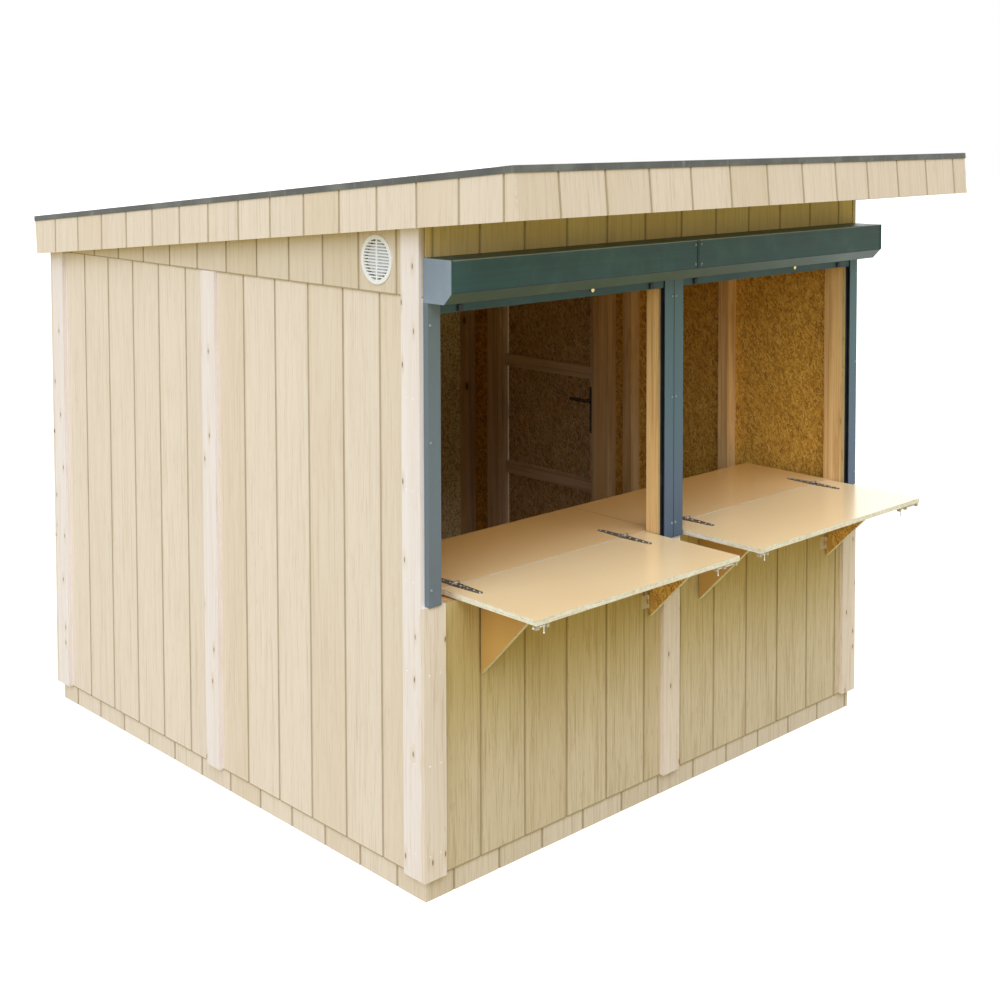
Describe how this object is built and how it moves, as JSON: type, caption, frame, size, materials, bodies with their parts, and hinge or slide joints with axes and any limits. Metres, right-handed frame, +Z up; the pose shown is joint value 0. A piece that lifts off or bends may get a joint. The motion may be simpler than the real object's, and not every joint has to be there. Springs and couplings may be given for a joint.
{
  "type": "market stall",
  "caption": "Wooden market stall with grooved cream siding, two shuttered serving hatches, folding counter flaps on brackets, a side door and a sloping roof.",
  "frame": {"origin": "centre of the plinth's footprint, on the ground", "axes": "+X to the right along the serving front, +Y from the serving front to the back, +Z up"},
  "size_m": [2.52, 3.11, 2.4244],
  "materials": {
    "timber": "planed softwood",
    "board": "strand board",
    "siding": "cream paint on grooved siding",
    "batten": "whitewashed softwood",
    "felt": "mineral felt",
    "trim": "dark grey-green satin",
    "shutter": "blue-grey satin",
    "brass": "turned",
    "film_ply": "beech-coloured film on board",
    "zinc": "zinc plated",
    "black": "black satin",
    "vent_plastic": "white"
  },
  "bodies": {
    "stall": {"floor_frame": "timber", "floor_deck": "board", "plinth_sides": "siding", "plinth_ends": "siding", "left_siding": "siding", "left_gable": "siding", "right_gable": "siding", "right_siding": "siding", "door_head_siding": "siding", "back_siding": "siding", "front_apron": "siding", "front_header": "siding", "front_facings": "siding", "side_battens": "batten", "end_battens": "batten", "front_posts": "timber", "front_rails": "timber", "wall_plates": "timber", "wall_studs": "timber", "door_frame": "timber", "roof_trimmers": "timber", "rafters": "timber", "roof_deck": "board", "fascia_sides": "siding", "fascia_ends": "siding", "soffit": "siding", "roof_felt": "felt", "edge_trims": "trim", "shutter_boxes": "shutter", "guide_rails": "shutter", "shutter_slats": "shutter", "shutter_locks": "brass", "worktops": "film_ply", "worktop_bearers": "timber", "hinge_plates": "zinc", "vent_grille": "vent_plastic"},
    "flap_left": {"flap_left": "film_ply", "flap_left_ironwork": "zinc"},
    "flap_right": {"flap_right": "film_ply", "flap_right_ironwork": "zinc"},
    "left_flap_bolt_a": {"bolt_1": "zinc"},
    "left_flap_bolt_b": {"bolt_2": "zinc"},
    "right_flap_bolt_a": {"bolt_3": "zinc"},
    "right_flap_bolt_b": {"bolt_4": "zinc"},
    "bracket_1": {"bracket_1": "film_ply", "bracket_leaf_1": "zinc"},
    "bracket_2": {"bracket_2": "film_ply", "bracket_leaf_2": "zinc"},
    "bracket_3": {"bracket_3": "film_ply", "bracket_leaf_3": "zinc"},
    "bracket_4": {"bracket_4": "film_ply", "bracket_leaf_4": "zinc"},
    "door": {"door_leaf": "siding", "door_ledges": "timber", "lock_plates": "black", "door_straps": "zinc"},
    "lever": {"door_lever": "black"}
  },
  "joints": [
    {"name": "flap_left_hinge", "type": "hinge", "parent": "stall", "child": "flap_left", "pos_m": [-0.586, -1.189, 1.006], "axis": [-1, 0, 0], "range_deg": [0, 178]},
    {"name": "flap_right_hinge", "type": "hinge", "parent": "stall", "child": "flap_right", "pos_m": [0.602, -1.189, 1.006], "axis": [-1, 0, 0], "range_deg": [0, 178]},
    {"name": "bracket_1_hinge", "type": "hinge", "parent": "stall", "child": "bracket_1", "pos_m": [-0.932, -1.2675, 0.84], "axis": [0, 0, 1], "range_deg": [0, 90]},
    {"name": "bracket_2_hinge", "type": "hinge", "parent": "stall", "child": "bracket_2", "pos_m": [-0.121, -1.2675, 0.84], "axis": [0, 0, -1], "range_deg": [0, 90]},
    {"name": "bracket_3_hinge", "type": "hinge", "parent": "stall", "child": "bracket_3", "pos_m": [0.193, -1.2675, 0.84], "axis": [0, 0, 1], "range_deg": [0, 90]},
    {"name": "bracket_4_hinge", "type": "hinge", "parent": "stall", "child": "bracket_4", "pos_m": [1.002, -1.2675, 0.84], "axis": [0, 0, -1], "range_deg": [0, 90]},
    {"name": "door_hinge", "type": "hinge", "parent": "stall", "child": "door", "pos_m": [1.1995, 0.9245, 1], "axis": [0, 0, 1], "range_deg": [0, 165]},
    {"name": "lever_hinge", "type": "hinge", "parent": "door", "child": "lever", "pos_m": [1.1935, 0.2715, 1.153], "axis": [-1, 0, 0], "range_deg": [0, 40], "stiffness_Nm_per_rad": 1.2, "springref_deg": -28.65},
    {"name": "left_flap_bolt_a_slide", "type": "slide", "parent": "flap_left", "child": "left_flap_bolt_a", "axis": [-1, 0, 0], "range_m": [0, 0.02]},
    {"name": "left_flap_bolt_b_slide", "type": "slide", "parent": "flap_left", "child": "left_flap_bolt_b", "axis": [1, 0, 0], "range_m": [0, 0.02]},
    {"name": "right_flap_bolt_a_slide", "type": "slide", "parent": "flap_right", "child": "right_flap_bolt_a", "axis": [-1, 0, 0], "range_m": [0, 0.02]},
    {"name": "right_flap_bolt_b_slide", "type": "slide", "parent": "flap_right", "child": "right_flap_bolt_b", "axis": [1, 0, 0], "range_m": [0, 0.02]}
  ]
}
